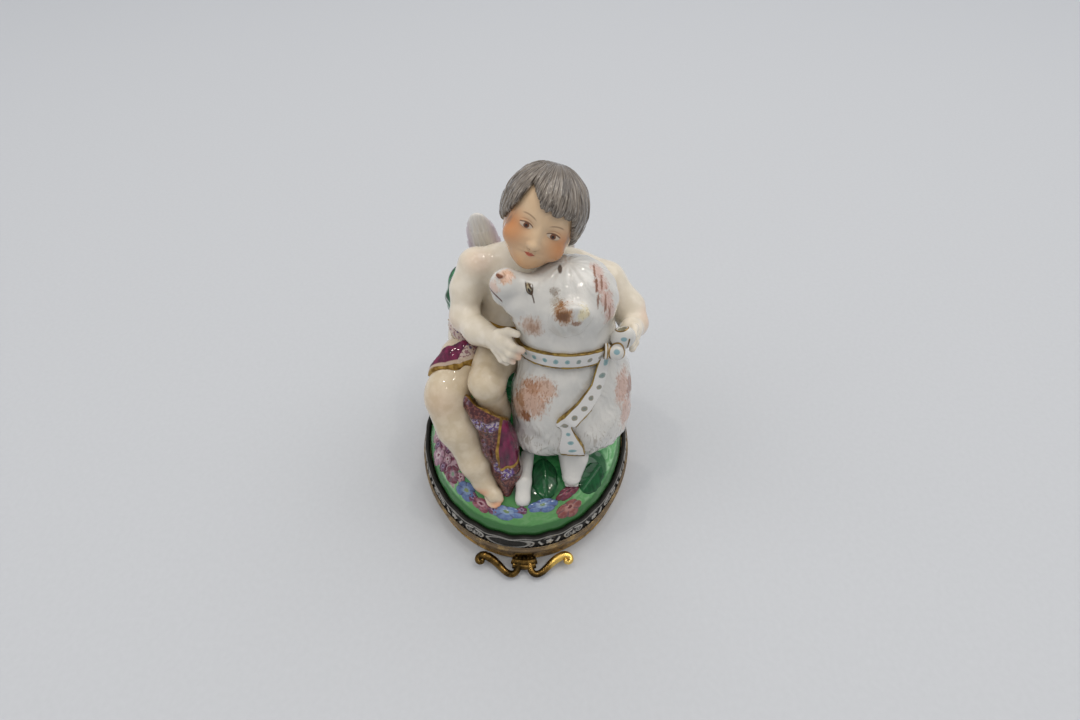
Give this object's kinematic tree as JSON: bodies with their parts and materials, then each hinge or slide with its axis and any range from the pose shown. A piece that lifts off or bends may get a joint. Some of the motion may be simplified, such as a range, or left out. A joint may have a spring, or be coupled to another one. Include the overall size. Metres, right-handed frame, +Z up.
{
  "type": "bonbonniere",
  "caption": "Small hinged porcelain box: a winged boy hugs a seated dog on a hollow flowered mound, closed below by a gilt rim with scrolled thumbpiece and rear hinge.",
  "frame": {"origin": "under the middle of the box, on the plane it stands on", "axes": "+Z up, the front with the thumbpiece towards -Y, the hinge towards +Y"},
  "size_m": [0.05, 0.067, 0.0747],
  "materials": {
    "gilt_brass": "gilt, worn to dull brown in the hollows",
    "oxidised_silver": "silver, chased and darkened",
    "green_glaze": "glossy brush-mottled green",
    "dark_green_glaze": "glossy dark green",
    "flower_glaze": "glossy painted petals in blue, pink and dark red",
    "grey_brown_glaze": "glossy grey-brown painted in fine strokes",
    "skin_glaze": "glossy ivory with a peach blush",
    "purple_glaze": "glossy purple and patterned white with gold edges",
    "white_glaze": "glossy white with painted patches"
  },
  "bodies": {
    "base_half": {"base_rim": "gilt_brass", "base_plaque": "white_glaze", "closing_flange": "gilt_brass", "thumbpiece": "gilt_brass", "base_hinge": "gilt_brass", "hinge_pin": "gilt_brass"},
    "figure_half": {"boy_torso": "skin_glaze", "boy_hair": "grey_brown_glaze", "boy_head": "skin_glaze", "boy_right_arm": "skin_glaze", "boy_left_arm": "skin_glaze", "boy_right_leg": "skin_glaze", "boy_left_leg": "skin_glaze", "right_wing": "white_glaze", "left_wing": "white_glaze", "dog_body": "white_glaze", "dog_head": "white_glaze", "dog_collar": "white_glaze", "dog_near_ear": "white_glaze", "dog_left_foreleg": "white_glaze", "dog_right_foreleg": "white_glaze", "dog_tail": "white_glaze", "collar_bow": "white_glaze", "ribbon_end": "white_glaze", "waist_drapery": "purple_glaze", "lap_drapery": "purple_glaze", "hanging_drapery": "purple_glaze", "stump": "dark_green_glaze", "flower_1": "flower_glaze", "flower_2": "flower_glaze", "flower_3": "flower_glaze", "flower_4": "flower_glaze", "flower_5": "flower_glaze", "flower_6": "flower_glaze", "flower_7": "flower_glaze", "flower_8": "flower_glaze", "leaf_1": "dark_green_glaze", "leaf_2": "dark_green_glaze", "body_moulding": "gilt_brass", "silver_gallery": "oxidised_silver", "mound": "green_glaze", "body_hinge": "gilt_brass"}
  },
  "joints": [
    {"name": "rear_hinge", "type": "hinge", "parent": "base_half", "child": "figure_half", "pos_m": [0, 0.03202, 0.00405], "axis": [-1, 0, 0], "range_deg": [0, 95]}
  ]
}
